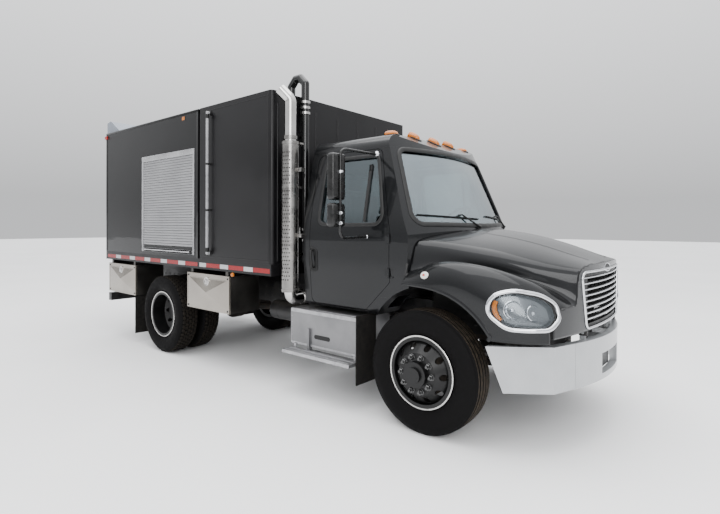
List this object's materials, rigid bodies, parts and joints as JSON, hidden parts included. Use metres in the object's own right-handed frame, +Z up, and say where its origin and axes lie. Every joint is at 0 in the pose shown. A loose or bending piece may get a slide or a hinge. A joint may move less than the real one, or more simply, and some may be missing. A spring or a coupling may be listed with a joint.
{
  "type": "sewer jetter truck",
  "caption": "Two-axle conventional-cab sewer jetter truck with tilting hood, doors, toolboxes, boxed water tank, shuttered equipment body and a rear hose reel.",
  "frame": {"origin": "on the ground under the middle of the overall length, on the centre plane", "axes": "+X to the front of the truck, +Y to its left, +Z up"},
  "size_m": [7.08, 2.879, 3.4102],
  "materials": {
    "cab_paint": "gloss",
    "body_black": "gloss",
    "frame_black": "satin",
    "axle_iron": "satin",
    "bumper_silver": "satin",
    "glass": "clear",
    "trim_grey": "matte",
    "seat_fabric": "matte",
    "amber_lens": "gloss",
    "red_lens": "gloss",
    "lamp_lens": "clear",
    "stainless": "brushed",
    "aluminium": "satin",
    "shutter_aluminium": "satin",
    "pipe_black": "gloss",
    "clear_tube": "clear",
    "flap_rubber": "matte",
    "reel_paint": "gloss",
    "hose_rubber": "satin",
    "chrome": "polished",
    "tyre": "matte",
    "wheel_black": "gloss",
    "mirror_black": "satin"
  },
  "bodies": {
    "chassis": {"frame_rails": "frame_black", "front_axle": "axle_iron", "rear_axle": "axle_iron", "leaf_springs": "frame_black", "power_train": "axle_iron", "radiator": "frame_black", "front_bumper": "bumper_silver", "cab_roof": "cab_paint", "cab_back": "cab_paint", "cab_floor": "cab_paint", "cab_front": "cab_paint", "cab_glass": "glass", "dashboard": "trim_grey", "seats": "seat_fabric", "amber_lamps": "amber_lens", "red_lamps": "red_lens", "exhaust": "stainless", "stack_shield": "stainless", "step_box": "aluminium", "fuel_tank": "aluminium", "air_tanks": "frame_black", "deck": "frame_black", "water_tank": "body_black", "fill_pipe": "pipe_black", "level_tube": "clear_tube", "body_sides": "body_black", "body_walls": "body_black", "roller_doors": "shutter_aluminium", "rear_visor": "aluminium", "pump_block": "axle_iron", "toolboxes": "stainless", "mud_flaps": "flap_rubber", "rear_guard": "frame_black", "reel_stand": "frame_black"},
    "knuckle_body_right": {"knuckle_right": "axle_iron"},
    "front_wheel_right": {"front_tyre_right": "tyre", "front_rim_right": "wheel_black"},
    "rear_wheels_right": {"rear_tyres_right": "tyre", "rear_rims_right": "wheel_black"},
    "cab_door_right": {"door_right": "cab_paint", "door_glass_right": "glass", "mirror_right": "mirror_black"},
    "toolbox_lid_front_right": {"box_door_front_right": "stainless"},
    "toolbox_lid_rear_right": {"box_door_rear_right": "stainless"},
    "knuckle_body_left": {"knuckle_left": "axle_iron"},
    "front_wheel_left": {"front_tyre_left": "tyre", "front_rim_left": "wheel_black"},
    "rear_wheels_left": {"rear_tyres_left": "tyre", "rear_rims_left": "wheel_black"},
    "cab_door_left": {"door_left": "cab_paint", "door_glass_left": "glass", "mirror_left": "mirror_black"},
    "toolbox_lid_front_left": {"box_door_front_left": "stainless"},
    "toolbox_lid_rear_left": {"box_door_rear_left": "stainless"},
    "hood_body": {"hood": "cab_paint", "grille": "chrome", "headlamps": "lamp_lens"},
    "reel_body": {"hose_reel": "reel_paint", "hose_wrap": "hose_rubber"}
  },
  "joints": [
    {"name": "steer_right", "type": "hinge", "parent": "chassis", "child": "knuckle_body_right", "pos_m": [2.36, -0.872, 0.515], "axis": [0, 0, 1], "range_deg": [-35, 35]},
    {"name": "front_spin_right", "type": "hinge", "parent": "knuckle_body_right", "child": "front_wheel_right", "pos_m": [2.36, -1.026, 0.515], "axis": [0, 1, 0], "continuous": true},
    {"name": "rear_spin_right", "type": "hinge", "parent": "chassis", "child": "rear_wheels_right", "pos_m": [-1.704, -0.92, 0.515], "axis": [0, 1, 0], "continuous": true},
    {"name": "door_right_swing", "type": "hinge", "parent": "chassis", "child": "cab_door_right", "pos_m": [1.962, -1.043, 1.6], "axis": [0, 0, 1], "range_deg": [0, 70]},
    {"name": "box_front_right_swing", "type": "hinge", "parent": "chassis", "child": "toolbox_lid_front_right", "pos_m": [-0.6085, -1.219, 0.695], "axis": [1, 0, 0], "range_deg": [0, 90]},
    {"name": "box_rear_right_swing", "type": "hinge", "parent": "chassis", "child": "toolbox_lid_rear_right", "pos_m": [-2.8725, -1.219, 0.695], "axis": [1, 0, 0], "range_deg": [0, 90]},
    {"name": "steer_left", "type": "hinge", "parent": "chassis", "child": "knuckle_body_left", "pos_m": [2.36, 0.872, 0.515], "axis": [0, 0, 1], "range_deg": [-35, 35]},
    {"name": "front_spin_left", "type": "hinge", "parent": "knuckle_body_left", "child": "front_wheel_left", "pos_m": [2.36, 1.026, 0.515], "axis": [0, 1, 0], "continuous": true},
    {"name": "rear_spin_left", "type": "hinge", "parent": "chassis", "child": "rear_wheels_left", "pos_m": [-1.704, 0.92, 0.515], "axis": [0, 1, 0], "continuous": true},
    {"name": "door_left_swing", "type": "hinge", "parent": "chassis", "child": "cab_door_left", "pos_m": [1.962, 1.043, 1.6], "axis": [0, 0, -1], "range_deg": [0, 70]},
    {"name": "box_front_left_swing", "type": "hinge", "parent": "chassis", "child": "toolbox_lid_front_left", "pos_m": [-0.6085, 1.219, 0.695], "axis": [-1, 0, 0], "range_deg": [0, 90]},
    {"name": "box_rear_left_swing", "type": "hinge", "parent": "chassis", "child": "toolbox_lid_rear_left", "pos_m": [-2.8725, 1.219, 0.695], "axis": [-1, 0, 0], "range_deg": [0, 90]},
    {"name": "hood_tilt", "type": "hinge", "parent": "chassis", "child": "hood_body", "pos_m": [3.432, 0, 0.89], "axis": [0, 1, 0], "range_deg": [0, 55]},
    {"name": "reel_spin", "type": "hinge", "parent": "chassis", "child": "reel_body", "pos_m": [-2.93, 0, 2.03], "axis": [0, 1, 0], "continuous": true}
  ],
  "couplings": [
    {"joint": "steer_left", "follows": "steer_right", "ratio": 1}
  ]
}
